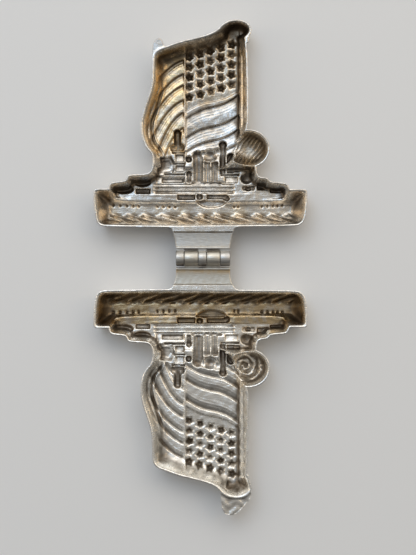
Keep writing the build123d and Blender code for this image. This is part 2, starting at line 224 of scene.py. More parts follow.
def fly_line(x, v, start, end):
    """Distance above a stripe's curved line from the fold to the fly."""
    t = np.clip((start[0] - x) / (start[0] - end[0]), 0.0, 1.35)
    line_v = start[1] - (start[1] - end[1]) * (0.35 * t + 0.65 * t**2.2)
    slope = (start[1] - end[1]) / (start[0] - end[0]) * (0.35 + 1.43 * t**1.2)
    return (v - line_v) / np.hypot(1.0, slope)


HOIST_LINES = ((91.4, 13.6, 5.6), (80.2, 13.2, 6.0), (72.2, 13.0, 5.0), (64.4, 12.0, 4.4))
FLY_LINES = (
    ((-9.4, 117.6), (-23.6, 112.0), 3.4), ((-9.4, 110.6), (-24.8, 97.4), 4.0),
    ((-9.4, 102.8), (-28.2, 81.6), 4.6), ((-9.4, 96.4), (-28.8, 74.4), 3.6),
    ((-9.4, 88.2), (-25.6, 69.6), 4.4), ((-9.4, 81.2), (-21.4, 65.4), 3.8),
    ((-9.4, 72.6), (-17.8, 61.8), 3.4),
)
STAR_RADIUS = 3.15


def star_pit(x, v, star_x, star_v, turn):
    """A five-pointed pit, deepest in its middle."""
    angle = np.arctan2(v - star_v, x - star_x) + turn
    spread = np.abs(((angle - pi / 2) % (2 * pi / 5)) / (2 * pi / 5) - 0.5) * 2
    reach = STAR_RADIUS * (0.62 + 0.38 * spread**1.25)
    return 2.3 * np.clip(1.0 - np.hypot(x - star_x, v - star_v) / reach, 0.0, 1.0)


def flag_relief(x, v, half):
    """What the flag's stripes, fold and stars add to the plain depth."""
    width_share, hoist_depth = BAND_STYLE[half]
    canton_edge = hoist_line(x, 93.4, 12.2)
    in_hoist = ease((x - FOLD_X) / 0.9) * ease((22.2 - x) / 0.8)
    in_fly = ease((FOLD_X - 0.4 - x) / 0.9)
    extra = 0.5 * np.sin((x + 9.0) / 9.5) * in_hoist + 0.5 * np.cos((x + 22.0) / 6.0) * in_fly
    for start_v, fall, width in HOIST_LINES:
        line = (v - hoist_line(x, start_v, fall)) * 0.9
        folds = 0.06 * np.sin(line * 2 * pi / 1.5) * (line < 0.0) * (line > -width)
        stripe = band(line, width * width_share, hoist_depth) + folds
        extra += stripe * in_hoist * (v < canton_edge + 1.0)
    extra += 0.6 * ease((v - canton_edge) / 0.7) * in_hoist
    for start, end, width in FLY_LINES:
        line = fly_line(x, v, start, end)
        folds = 0.09 * np.sin(line * 2 * pi / 1.3) * (line < 0.0) * (line > -width)
        extra += (band(line, width * width_share, 1.2, 0.7) + folds) * in_fly
    extra -= 0.9 * np.exp(-(((x - FOLD_X) / 0.42) ** 2))
    for column in range(5):
        for row in range(5):
            star_x = -6.2 + 5.95 * column + 0.25 * sin(7.0 * row + column)
            star_v = 90.2 + 1.75 * column + 5.65 * row
            turn = 0.5 * sin(5.0 * row + 3.0 * column)
            size = 1.15 + 0.25 * sin(4.0 * row + 9.0 * column)
            pit = star_pit(x, v, star_x, star_v, turn)
            extra += pit * size * ease((x - FOLD_X) / 0.6)
    return extra


print("stripe lines:", len(HOIST_LINES) + len(FLY_LINES))

# %% [markdown]
# ## The ship
# Turrets, funnels and masts stand out from the ship, so in the mould they are pockets. Each is sunk
# to a depth of its own below the parting face, so one pocket can cross another without adding up.
# Three small forms are enough: a box with soft edges, a half-round rod, and a ball. Each box has a
# floor that leans a little. Measured out from the pin, the two halves lean opposite ways, so in the
# open mould every floor faces the largest lamp. That is a choice made for the light: a photograph
# from straight above doesn't show such a lean.

# %% Pockets for the superstructure
def sink_to(depth, goal, mask):
    """Deepen a place to a goal, where the goal is the deeper, faded in by a mask."""
    return depth + np.maximum(goal - depth, 0.0) * mask


def sink_rod(depth, x, v, rod_x, v0, v1, radius, goal):
    """Sink an upright half-round groove with square ends."""
    across = np.sqrt(np.clip(1.0 - ((x - rod_x) / radius) ** 2, 0.0, 1.0))
    ends = ease((v - v0) / 0.45 + 0.5) * ease((v1 - v) / 0.45 + 0.5)
    return sink_to(depth, goal - 1.25 * radius * (1.0 - across), ends * (across > 0.0))


def sink_ball(depth, x, v, ball_x, ball_v, radius, goal, stretch=1.0):
    """Sink a round pit, or an oval one where stretch widens it."""
    out = ((x - ball_x) / (radius * stretch)) ** 2 + ((v - ball_v) / radius) ** 2
    round_part = np.sqrt(np.clip(1.0 - out, 0.0, 1.0))
    return sink_to(depth, goal - 1.1 * radius * (1.0 - round_part), out < 1.0)


BOXES = (
    (-24.6, -8.7, 41.6, 46.2, 10.9), (-21.4, -9.6, 42.4, 45.0, 12.1),
    (-20.2, -8.4, 46.7, 47.9, 12.1),
    (-13.9, -8.8, 48.6, 52.4, 11.5), (-15.6, -8.3, 52.7, 53.8, 12.0),
    (-13.8, -8.9, 54.2, 58.4, 11.0), (-15.8, -8.4, 58.7, 59.9, 11.8),
    (13.8, 20.9, 42.2, 46.0, 11.3), (11.4, 21.8, 46.3, 47.5, 12.1),
    (14.6, 18.9, 47.9, 56.4, 11.7), (18.4, 22.0, 48.2, 51.6, 11.0), (-5.0, 12.0, 41.6, 42.8, 11.9),
    (31.8, 38.0, 38.4, 43.2, 11.5), (39.0, 47.4, 37.0, 40.6, 11.4), (23.6, 30.4, 38.2, 40.6, 11.2),
    (-36.0, -28.0, 36.4, 39.0, 11.9), (-12.7, -2.9, 33.0, 36.0, 12.5),
    (3.8, 14.8, 33.2, 36.0, 12.5),
)
RODS = (
    (-12.7, 60.4, 70.2, 2.0, 12.6), (-6.3, 42.6, 47.0, 1.2, 11.9), (-1.1, 42.8, 57.4, 2.9, 12.5),
    (3.9, 42.8, 54.0, 1.7, 11.5), (7.9, 42.8, 54.0, 1.9, 11.5), (12.6, 47.6, 63.4, 1.65, 12.4),
)
BALLS = (
    (-12.7, 70.0, 2.0, 12.6, 1.0), (-12.9, 62.0, 2.7, 12.4, 1.6), (-6.4, 55.6, 1.8, 11.9, 1.0),
    (-6.3, 47.4, 1.7, 12.2, 1.0), (-1.4, 57.4, 3.0, 12.6, 1.0), (5.4, 57.8, 3.9, 12.5, 1.15),
    (1.9, 58.4, 2.3, 11.4, 1.0), (9.4, 59.4, 2.6, 11.5, 1.0), (12.6, 63.6, 2.1, 12.6, 1.0),
    (16.9, 56.6, 2.3, 12.3, 1.0), (19.6, 52.4, 1.9, 12.2, 1.0), (-0.3, 34.7, 1.8, 12.6, 1.0),
    (14.6, 33.8, 1.8, 12.6, 1.0), (-42.4, 38.8, 2.7, 12.2, 2.1), (-32.2, 42.7, 2.7, 12.2, 1.8),
    (43.2, 38.9, 2.0, 12.2, 2.1), (25.8, 44.9, 3.6, 12.2, 1.1), (26.6, 39.2, 1.2, 12.2, 1.5),
    (34.8, 40.8, 2.2, 12.2, 1.3), (-22.6, 52.6, 1.5, 11.0, 1.2),
)
PANELS = (
    (18.6, 31.6, 32.0, 36.6, 9.9), (-34.0, -16.0, 33.2, 34.4, 10.6), (33.6, 44.0, 33.8, 35.4, 10.3),
)
TUB = [(-25.2, 49.4), (-22.6, 56.2), (-16.4, 57.2), (-14.0, 52.6), (-15.4, 47.9), (-22.6, 47.2)]
BOAT = soften([(-3.6, 33.2), (16.0, 33.0), (14.4, 30.2), (9.6, 28.2), (2.6, 28.2), (-2.0, 30.4)], 1)
BOX_LEAN = {"upper": 0.5, "lower": -0.5}
PORTHOLES = (
    -48.7, -44.8, -41.0, -37.5, -34.4, -23.9, -20.6, -17.3, -14.0, 19.0, 21.2,
    34.4, 37.6, 40.7, 43.2, 45.9,
)


def sheer_height(x):
    """The line where the hull's side meets its upper works."""
    return 30.9 + 5.2 * np.clip((np.abs(x + 1.0) - 12.0) / 48.0, 0.0, 1.0) ** 1.8


def sink_ship(depth, x, v, half):
    """Sink the upper works, boat and portholes into the plain hollow."""
    rise = v - sheer_height(x)
    amidships = ease((x + 27.0) / 3.0) * ease((20.5 - x) / 3.0)
    strakes = np.interp(v, [35.9, 36.3, 36.9, 38.0, 38.5, 39.2, 40.1, 40.6, 41.3, 42.0],
                        [9.8, 9.8, 11.5, 11.2, 10.1, 11.7, 11.4, 10.2, 11.6, 10.2])
    bulwark = 11.3 - 1.5 * ease(rise / 4.4) + 0.5 * np.exp(-(((rise + 0.3) / 0.4) ** 2))
    upper_works = np.where(v < 36.1, bulwark, 10.0 + (strakes - 10.0) * amidships)
    depth = np.where((v < 44.0) & (rise > -1.2), np.minimum(depth, upper_works), depth)
    depth = np.where((v > 36.1) & (v < 43.0), sink_to(depth, upper_works, amidships), depth)
    for x0, x1, v0, v1, level in PANELS:
        mask = ease(box_inside(x, v, x0, x1, v0, v1) / 0.4 + 0.3)
        depth = depth - np.maximum(depth - level, 0.0) * mask
    tub = inside(np.array(TUB), x, v)
    tub_floor = 10.0 + 0.16 * (x + 25.0) + 0.5 * ease((tub - 1.8) / 0.4)
    depth = sink_to(depth, tub_floor, ease(tub / 0.4))
    for x0, x1, v0, v1, level in BOXES:
        goal = level + BOX_LEAN[half] * np.clip((2 * v - v0 - v1) / (v1 - v0), -1.0, 1.0)
        depth = sink_to(depth, goal, ease(box_inside(x, v, x0, x1, v0, v1) / 0.45 + 0.3))
    for rod_x, v0, v1, radius, goal in RODS:
        depth = sink_rod(depth, x, v, rod_x, v0, v1, radius, goal)
    for ball_x, ball_v, radius, goal, stretch in BALLS:
        depth = sink_ball(depth, x, v, ball_x, ball_v, radius, goal, stretch)
    depth = sink_to(depth, 12.3, ease(inside(BOAT, x, v) / 1.1))
    for port_x in PORTHOLES:
        port_v = 28.9 + 1.0 * (abs(port_x) / 50.0) ** 2
        depth = depth + 1.3 * np.exp(-(((x - port_x) / 0.55) ** 2 + ((v - port_v) / 0.55) ** 2))
    return depth


def waves(x, v):
    """Curling crests along the waterline, like the strands of a rope."""
    rise = (v - 21.7) / 3.0
    turn = (x + 46.4) / 10.2 + 0.12 * np.sin(x * 0.17) + 0.5 * rise + 0.14 * np.sin(pi * rise)
    strand = np.abs(np.sin(pi * turn)) ** 0.8
    curl = 0.35 * np.sin(2 * pi * (turn * 2.0 + 0.5 * rise)) * strand
    size = 1.15 + 0.2 * np.sin(x * 0.07 + 0.6)
    extra = size * (2.5 * strand - 0.7 + curl) * np.exp(-(rise**4))
    return extra * ease((x + 54.0) / 4.0) * ease((54.0 - x) / 4.0)


print("pockets:", len(BOXES) + len(RODS) + len(BALLS), "portholes:", len(PORTHOLES))

# %% [markdown]
# ## The two hollows
# The halves are mirror images, but not quite: one holds a puff of smoke with slanting streaks and
# a flat tab, and the other a curled puff and a rough lug. So one depth serves both, and what differs
# is the puff, the finial's pit, the cut of the bands, the lean of the boxes and the edge pieces.

# %% Depth of one half
CELL = 0.34
CURL_MIDDLE = (25.0, 59.6)


def blur(field, reach):
    """Smooth a grid of values over a distance in millimetres."""
    sigma = reach / CELL
    half_width = int(3 * sigma) + 1
    weights = np.exp(-0.5 * (np.arange(-half_width, half_width + 1) / sigma) ** 2)
    weights /= weights.sum()
    for axis in (0, 1):
        field = np.apply_along_axis(lambda line: np.convolve(line, weights, "same"), axis, field)
    return field


def casting_wobble(x, v):
    """The slow unevenness that a hand-carved pattern leaves."""
    broad = np.sin(x * 0.71 + 1.3 * np.sin(v * 0.43)) * np.sin(v * 0.83 + 1.1 * np.sin(x * 0.37))
    small = np.sin(x * 2.3 + 2.0 * np.sin(v * 1.1)) * np.sin(v * 2.1 + 1.7 * np.sin(x * 1.3))
    return 0.07 * broad + 0.025 * small


def puff_marks(x, v, half):
    """Slanting streaks in the upper puff of smoke, and a ragged curl in the lower one."""
    share = puff_share(x, v, RIM)
    if half == "upper":
        slant = (x - PUFF[0]) * 0.8 - (v - PUFF[1]) * 0.6
        ripple = np.sin(slant * 2 * pi / 1.9 + 1.3 * np.sin(v * 0.7))
        marks = 0.42 * ripple * ease((share - 0.1) / 0.5)
    else:
        out_x, out_v = x - CURL_MIDDLE[0], v - CURL_MIDDLE[1]
        angle, reach = np.arctan2(out_v, out_x), np.hypot(out_v, out_x)
        ragged = 0.7 * np.sin(5.0 * angle + 1.1 * reach) + 0.5 * np.sin(x * 1.9) * np.sin(v * 2.3)
        marks = 0.6 * np.sin(angle + reach * 2 * pi / 3.0 + ragged) * ease(reach / 1.0)
        marks += 1.2 * np.exp(-((reach / 1.5) ** 2))
    return marks * ease((1.0 - share) / 0.3) * ease((x - 18.0) / 3.0) * (v > 49.0)


def edge_piece_depth(x, v, edge, half):
    """How far the tab or the lug lies below the parting face, where it stands out of the rim."""
    lumps = np.sin(x * 0.9 + np.sin(v * 0.5)) + 0.6 * np.sin(v * 1.3 + 1.7 * np.sin(x * 0.7))
    drop = 0.25 if half == "upper" else 0.8 + 0.18 * lumps
    return np.where(v > 100.0, drop * ease(-edge / 0.8), 0.0)


def hollow_depth(x, v, half):
    """Depth of the finished hollow below the parting face, on a whole grid of points."""
    edges = region_edges(x, v)
    edge = body_edge(x, v, edges)
    depth = blur(plain_hollow(x, v, edges, half), 0.6)
    above_ship = ease((v - FLAG_FOOT) / 3.0)
    in_flag = above_ship * ease((22.4 - x) / 0.8) * ease((depth - 2.5) / 4.5)
    depth = depth + flag_relief(x, v, half) * in_flag
    in_ship = (v < 73.0) & (depth > 6.0) & ((x < 23.0) | (v < 50.0))
    depth = np.where(in_ship, sink_ship(depth, x, v, half), depth)
    depth = depth + waves(x, v) * ease((depth - 1.5) / 2.5) * (v < WAVE_TOP)
    fly_roll = ease((-16.0 - x) / 5.0) * ease((v - 55.0) / 4.0) * ease((104.0 - v) / 20.0)
    roll = np.sin(edge * 2 * pi / 2.7 + 0.8) + 0.4 * np.sin(edge * 2 * pi / 1.2)
    depth = depth + 0.75 * roll * fly_roll * ease((8.2 - edge) / 2.0) * ease((edge - 1.8) / 1.0)
    groove = np.sqrt(np.clip(1.0 - (x - POLE_X) ** 2, 0.0, 1.0))
    depth = depth + 0.9 * groove * ease((v - 66.0) / 3.0) * ease((121.0 - v) / 2.0)
    depth = depth + puff_marks(x, v, half)
    depth = depth + casting_wobble(x, v) * ease((depth - 2.0) / 3.0)
    edge_wall = np.clip((edge - RIM + 0.25) * 4.0, 0.0, 20.0)
    hollow = np.minimum(np.clip(depth, 0.0, DEEPEST_POCKET), edge_wall)
    return np.where(edge > 0.0, hollow, edge_piece_depth(x, v, edge, half))


def patina_and_painted_light(x, v, depth, half):
    """Where grime and painted shade, and golden tarnish and painted warm glints, lie on one half:
    two masks from 0 to 1.
    """
    in_hollow = ease((depth - 1.0) / 3.0)
    if half == "upper":
        # Painted shade: the finial's pit, whose wall turns away from the light, is darkened.
        grime_and_shade = 0.9 * ease((v - 121.5) / 2.5) * ease((x - 12.0) / 3.0)
        # Painted shade: the flag darkens towards its top, whose wall turns away from the light.
        grime_and_shade += 0.35 * ease((v - 94.0) / 18.0) * ease((18.0 - x) / 8.0)
        on_decks = ease((v - 36.0) / 3.0) * ease((50.0 - v) / 3.0)
        grime_and_shade += 0.25 * on_decks * ease((np.abs(x) - 20.0) / 6.0)
        # The gold is partly golden tarnish and partly painted warm reflection.
        gold = 0.75 * ease((-8.0 - x) / 2.0) * ease((v - 56.0) / 4.0)
        gold += 0.55 * ease((x - 22.0) / 3.0) * (v > 48.0) + 0.35 * ease((31.0 - v) / 2.0)
        grime_and_shade += 0.3 * ease((x + 8.0) / 2.0) * ease((22.0 - x) / 2.0) * (v > 62.0) * (v < 92.0)
        gold += 0.45 * ease((v - 82.0) / 6.0)
        grime_and_shade += 0.08 * ease((v - 82.0) / 8.0) * ease((x + 8.0) / 2.0) * ease((124.0 - v) / 4.0)
    else:
        # Painted shade: the hull and its waves, whose walls turn away from the light in this half,
        # are darkened and browned.
        grime_and_shade = 0.35 * ease((25.6 - v) / 1.6) + 0.42 * ease((36.6 - v) / 0.8)
        grime_and_shade += 0.8 * np.exp(-(((x - 19.8) / 3.2) ** 2) - ((v - 128.2) / 1.3) ** 2)
        gold = 0.95 * ease((36.6 - v) / 0.8) + 0.3 * ease((x - 16.0) / 4.0) * ease((73.0 - v) / 3.0)
    on_tab = ease((v - 108.0) / 3.0) * ease(-body_edge(x, v) / 0.6)
    grime_and_shade = grime_and_shade * in_hollow + (0.3 if half == "upper" else 0.08) * on_tab
    return np.clip(grime_and_shade, 0.0, 1.0), np.clip(gold, 0.0, 1.0) * in_hollow


def rounded_least(first, second, reach):
    """The smaller of two depths, with a rounded change from one to the other."""
    share = np.clip(0.5 + 0.5 * (second - first) / reach, 0.0, 1.0)
    return second * (1.0 - share) + first * share - reach * share * (1.0 - share)


def back_depth(x, v, half):
    """Depth of the casting's back below the parting face."""
    slope = 1.0 / tan(OUTER_DRAFT)
    between = ease((v - 37.0) / 1.0) * ease((61.0 - v) / 1.0)
    deepest = BACK_DEPTH - BACK_RECESS * between
    depth = np.zeros(x.shape)
    for ring in (HULL, DECKS, FLAG):
        wall = np.clip(inside(ring, x, v) * slope, 0.0, None)
        depth = np.maximum(depth, rounded_least(wall, deepest, 5.0))
    finial = np.minimum(np.clip(inside(FINIAL, x, v) * slope, 0.0, None), 11.0)
    puff = bowl(puff_share(x, v, 0.0), 12.8)
    ledge = np.minimum(np.clip(inside(np.array(LEDGE), x, v) * slope, 0.0, None), 5.6)
    depth = np.maximum.reduce([depth, finial, puff, ledge])
    if half == "upper":
        tab = np.minimum(np.clip(inside(TAB, x, v) * slope, 0.0, None), 2.6)
        depth = np.maximum(depth, tab)
    else:
        lug = np.minimum(np.clip(inside(LUG, x, v) * slope, 0.0, None), 4.2)
        depth = np.maximum(depth, lug)
    return np.maximum(depth, 0.7)


def casting_edge(x, v, half):
    """Distance in from the edge of the whole casting."""
    extra_ring = TAB if half == "upper" else LUG
    parts = [body_edge(x, v), inside(np.array(LEDGE), x, v), inside(extra_ring, x, v)]
    return np.maximum.reduce(parts)


print("grid cell:", CELL, "mm, deepest pocket:", DEEPEST_POCKET, "mm")

# %% [markdown]
# ## From depths to a mesh
# The grid is cut to the casting's outline, and its edge vertices are pulled onto the outline, so
# that no stair steps are left. The depths are worked out on the same grid and blurred by a fraction
# of a millimetre, which rounds the edges as casting does. Extruding the face gives the back. Most
# of the back is flat, so its small faces there are swapped for a few large triangles.

# %% The grid, cut to the casting's outline
LOW_X, LOW_V = -60.0, 14.0
GRID_WIDTH = 120.0
HIGH_V = {"upper": 132.4, "lower": 141.6}
NUDGE = 0.02


def grid_cells(half):
    """How many cells the grid has along x and along v."""
    return int(round(GRID_WIDTH / CELL)), int(round((HIGH_V[half] - LOW_V) / CELL))


def places(verts):
    """Where some vertices lie, as an array of x and one of v."""
    found = np.array([vert.co[:2] for vert in verts])
    return found[:, 0], found[:, 1]


def outline_slope(x, v, step_x, step_v, half):
    """How fast the distance to the outline grows in one direction."""
    ahead = casting_edge(x + step_x, v + step_v, half)
    behind = casting_edge(x - step_x, v - step_v, half)
    return (ahead - behind) / (2 * NUDGE)


def cut_grid(half):
    """A flat grid of quads inside the casting's outline, with its rim pulled onto the outline."""
    across, out = grid_cells(half)
    bm = bmesh.new()
    bmesh.ops.create_grid(bm, x_segments=across, y_segments=out, size=0.5)
    bmesh.ops.scale(bm, vec=(CELL * across, CELL * out, 1.0), verts=bm.verts)
    middle = (LOW_X + CELL * across / 2, LOW_V + CELL * out / 2, 0.0)
    bmesh.ops.translate(bm, vec=middle, verts=bm.verts)
    keep = casting_edge(*places(bm.verts), half) > -0.4 * CELL
    for vert, kept in zip(bm.verts, keep):
        vert.tag = bool(kept)
    outside = [face for face in bm.faces if not all(vert.tag for vert in face.verts)]
    bmesh.ops.delete(bm, geom=outside, context="FACES")
    rim = [vert for vert in bm.verts if vert.is_boundary]
    rim_x, rim_v = places(rim)
    for _ in range(3):
        gap = casting_edge(rim_x, rim_v, half)
        slope_x = outline_slope(rim_x, rim_v, NUDGE, 0.0, half)
        slope_v = outline_slope(rim_x, rim_v, 0.0, NUDGE, half)
        steep = np.maximum(slope_x**2 + slope_v**2, 0.25)
        rim_x, rim_v = rim_x - gap * slope_x / steep, rim_v - gap * slope_v / steep
    for vert, x, v in zip(rim, rim_x, rim_v):
        vert.co.x, vert.co.y = x, v
    return bm


print("grid cells:", {half: grid_cells(half) for half in HIGH_V})

# %% The front: depth, tarnish and painted shade
MASKS = ("hollow", "grime_and_shade", "gold")
BACK_MASKS = (0.5, 0.0, 0.1)


def sample(field, x, v):
    """Read a grid of values between its nodes."""
    column = np.clip((x - LOW_X) / CELL, 0, field.shape[1] - 1.001)
    row = np.clip((v - LOW_V) / CELL, 0, field.shape[0] - 1.001)
    i, j = column.astype(int), row.astype(int)
    a, b = column - i, row - j
    return (field[j, i] * (1 - a) * (1 - b) + field[j, i + 1] * a * (1 - b)
            + field[j + 1, i] * (1 - a) * b + field[j + 1, i + 1] * a * b)


def depth_fields(half):
    """The hollow's depth on the whole grid, and how sunken each place is: 0.5 on a level place."""
    across, out = grid_cells(half)
    grid_v, grid_x = np.meshgrid(
        LOW_V + CELL * np.arange(out + 1), LOW_X + CELL * np.arange(across + 1), indexing="ij"
    )
    depth = hollow_depth(grid_x, grid_v, half)
    fine = blur(depth, 0.22)
    broad = blur(depth, 1.7)
    # How sunken a place is later darkens it: patina in the hollows, and painted shade in recesses.
    # Among the waves the measure is rescaled.
    sunken = np.clip(0.5 + (fine - broad) / 2.2, 0.0, 1.0)
    return fine, np.where(grid_v < WAVE_TOP, 0.32 + 0.7 * (sunken - 0.35), sunken)


def shape_front(bm, half):
    """Sink the grid into the hollow, and note each vertex's tarnish, painted shade and gold."""
    layers = [bm.verts.layers.float.new(name) for name in MASKS]
    x, v = places(bm.verts)
    depth, sunken = depth_fields(half)
    front = sample(depth, x, v)
    values = (sample(sunken, x, v), *patina_and_painted_light(x, v, front, half))
    for vert, down, *masks in zip(bm.verts, front, *values):
        vert.co.z = -down
        for layer, mask in zip(layers, masks):
            vert[layer] = mask


print("masks on the vertices:", MASKS)

# %% The back, and the finished castings
def add_back(bm, half):
    """Extrude the front into a closed body with drafted walls and a flat back."""
    layers = [bm.verts.layers.float[name] for name in MASKS]
    made = bmesh.ops.extrude_face_region(bm, geom=bm.faces[:])
    back = [item for item in made["geom"] if isinstance(item, bmesh.types.BMVert)]
    for vert, down in zip(back, back_depth(*places(back), half)):
        vert.co.z = -down
        for layer, mask in zip(layers, BACK_MASKS):
            vert[layer] = mask
    plain_faces = set()
    for level in (BACK_DEPTH, BACK_DEPTH - BACK_RECESS):
        flat = {vert for vert in back if vert.is_valid and abs(vert.co.z + level) < 0.01}
        middle_faces = [face for face in bm.faces if all(vert in flat for vert in face.verts)]
        bmesh.ops.delete(bm, geom=middle_faces, context="FACES")
        loops = [edge for edge in bm.edges if edge.is_boundary]
        filled = bmesh.ops.triangle_fill(bm, use_beauty=False, edges=loops)["geom"]
        plain_faces.update(item for item in filled if isinstance(item, bmesh.types.BMFace))
    for face in bm.faces:
        face.smooth = face not in plain_faces


def set_down(bm, name, half, zero_z):
    """Turn a half's own x, v and height into the frame's metres, and make the object."""
    turn = 1.0 if half == "upper" else -1.0
    for vert in bm.verts:
        x, v, z = vert.co
        vert.co = (x * MM, (PIN_Y + turn * v) * MM, (zero_z + z) * MM)
    bmesh.ops.recalc_face_normals(bm, faces=bm.faces)
    mesh = bpy.data.meshes.new(name)
    bm.to_mesh(mesh)
    bm.free()
    piece = bpy.data.objects.new(name, mesh)
    bpy.context.scene.collection.objects.link(piece)
    return piece


def build_casting(half):
    """One half: hollow in front, drafted walls and flat back."""
    bm = cut_grid(half)
    shape_front(bm, half)
    add_back(bm, half)
    return set_down(bm, half + "_casting", half, PARTING_Z)


castings = {half: build_casting(half) for half in ("upper", "lower")}
for half, casting in castings.items():
    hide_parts(half + "_half")
    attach(casting, half)
    casting.data.calc_loop_triangles()
    print(casting.name, len(casting.data.loop_triangles), "triangles")

# %% [markdown]
# ## The hinge leaves
# Each leaf is a plate that flares towards its casting, with a raised bead beside the barrel and
# knuckles on the pin. A shaped grid makes the plate, as it made the castings. A knuckle is a ring,
# so its half section is spun round the pin, and its rounded ends catch the light.

# %% Knuckles and leaves
HINGE_X = 1.6
BARREL_RADIUS = 4.2
KNUCKLES = (4.4, 7.5, 4.5, 7.2, 5.4)
KNUCKLE_GAP = 0.15
NOTCH_V = 5.0
LEDGE_V = 14.8
LEAF_TOP, LEAF_BOTTOM = -1.0, -4.2
LEAF_HALF_WIDTH = 16.7
FLARE_POWER = {"upper": 1.6, "lower": 3.6}
LEAF_GOLD = {"upper": 0.1, "lower": 0.9}
BARREL_HALF = (sum(KNUCKLES) + 4 * KNUCKLE_GAP) / 2


def knuckle_ends(number):
    """Where one knuckle starts and stops along the pin."""
    low = HINGE_X - BARREL_HALF + sum(KNUCKLES[:number]) + number * KNUCKLE_GAP
    return low, low + KNUCKLES[number]


def add_knuckle(bm, number, bore):
    """Spin one knuckle round the pin, and fill the corner between it and its leaf."""
    low, high = knuckle_ends(number)
    corner = 0.35
    section = (
        (low, bore), (low, BARREL_RADIUS - corner), (low + 0.1, BARREL_RADIUS - 0.12),
        (low + corner, BARREL_RADIUS), (high - corner, BARREL_RADIUS),
        (high - 0.1, BARREL_RADIUS - 0.12), (high, BARREL_RADIUS - corner), (high, bore),
    )
    points = [bm.verts.new((x, 0.0, radius)) for x, radius in section]
    edges = [bm.edges.new(pair) for pair in zip(points, points[1:] + points[:1])]
    bmesh.ops.spin(
        bm, geom=points + edges, cent=(0, 0, 0), axis=(1, 0, 0), angle=2 * pi, steps=64,
        use_merge=True,
    )
    web = bmesh.ops.create_cube(bm, size=1.0)["verts"]
    reach = NOTCH_V + 0.2
    bmesh.ops.scale(bm, vec=(high - low, reach, LEAF_TOP - LEAF_BOTTOM), verts=web)
    web_middle = ((low + high) / 2, reach / 2, (LEAF_TOP + LEAF_BOTTOM) / 2)
    bmesh.ops.translate(bm, vec=web_middle, verts=web)


def leaf_face(x, v):
    """Height of the leaf's top: a bead by the barrel, then a slight hollow with file marks."""
    bead = 0.5 * np.sqrt(np.clip(1.0 - ((v - NOTCH_V - 0.78) / 0.78) ** 2, 0.0, 1.0))
    hollow = -0.16 * np.sin(np.clip((v - 6.4) / 8.0, 0.0, 1.0) * pi)
    marks = 0.012 * np.sin(v * 9.0 + 0.9 * np.sin(x * 0.6)) + 0.014 * np.sin(x * 1.7 + v)
    return LEAF_TOP + bead + hollow + marks * ease((v - 6.4) / 0.5) * ease((14.4 - v) / 0.5) - 0.02


def note_leaf_shade_and_gold(bm, half):
    """Painted shade lies in the slits, under the barrel and in the notches, and gold beside the
    bead.
    """
    hollow_layer, painted_shade_layer, gold_layer = (bm.verts.layers.float.new(name) for name in MASKS)
    ends = [end for number in range(len(KNUCKLES)) for end in knuckle_ends(number)]
    for vert in bm.verts:
        x, v, z = vert.co
        gap = min(abs(x - end) for end in ends)
        underside = float(ease((-v * 0.9 + 1.6 - z) / 4.2)) if v < 3.0 else 0.0
        slit = float(ease((0.3 - gap) / 0.3)) if abs(v) < BARREL_RADIUS + 0.1 else 0.0
        notch = float(ease((NOTCH_V + 0.25 - v) / 0.25)) if v > BARREL_RADIUS + 0.1 else 0.0
        vert[hollow_layer] = 0.5
        vert[painted_shade_layer] = max(underside, 0.9 * slit, notch)
        vert[gold_layer] = LEAF_GOLD[half] * float(ease((9.6 - v) / 3.0)) * (v > 6.0)


def build_leaf(half, knuckles, bore):
    """One hinge leaf with its bead and knuckles."""
    bm = bmesh.new()
    bmesh.ops.create_grid(bm, x_segments=90, y_segments=60, size=0.5)
    for vert in bm.verts:
        v = NOTCH_V + (LEDGE_V - NOTCH_V) * (vert.co.y + 0.5)
        flare = ((v - NOTCH_V) / (LEDGE_V - NOTCH_V)) ** FLARE_POWER[half]
        half_width = BARREL_HALF + (LEAF_HALF_WIDTH - BARREL_HALF) * flare
        x = HINGE_X + 2 * half_width * vert.co.x
        edge_drop = 0.25 * max(0.0, 1.0 - (half_width - abs(x - HINGE_X)) / 0.4) ** 2
        vert.co = (x, v, float(leaf_face(x, v)) - edge_drop)
    made = bmesh.ops.extrude_face_region(bm, geom=bm.faces[:])
    for item in made["geom"]:
        if isinstance(item, bmesh.types.BMVert):
            item.co.z = LEAF_BOTTOM
    for number in knuckles:
        add_knuckle(bm, number, bore)
    note_leaf_shade_and_gold(bm, half)
    for face in bm.faces:
        face.smooth = True
    leaf = set_down(bm, half + "_leaf", half, PIN_Z)
    leaf.data.set_sharp_from_angle(angle=radians(38.0))
    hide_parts(half + "_hinge_leaf")
    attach(leaf, half)
    return leaf


leaves = {
    "upper": build_leaf("upper", (0, 2, 4), 1.52),
    "lower": build_leaf("lower", (1, 3), 1.56),
}
print("leaf faces:", {half: len(leaf.data.polygons) for half, leaf in leaves.items()})
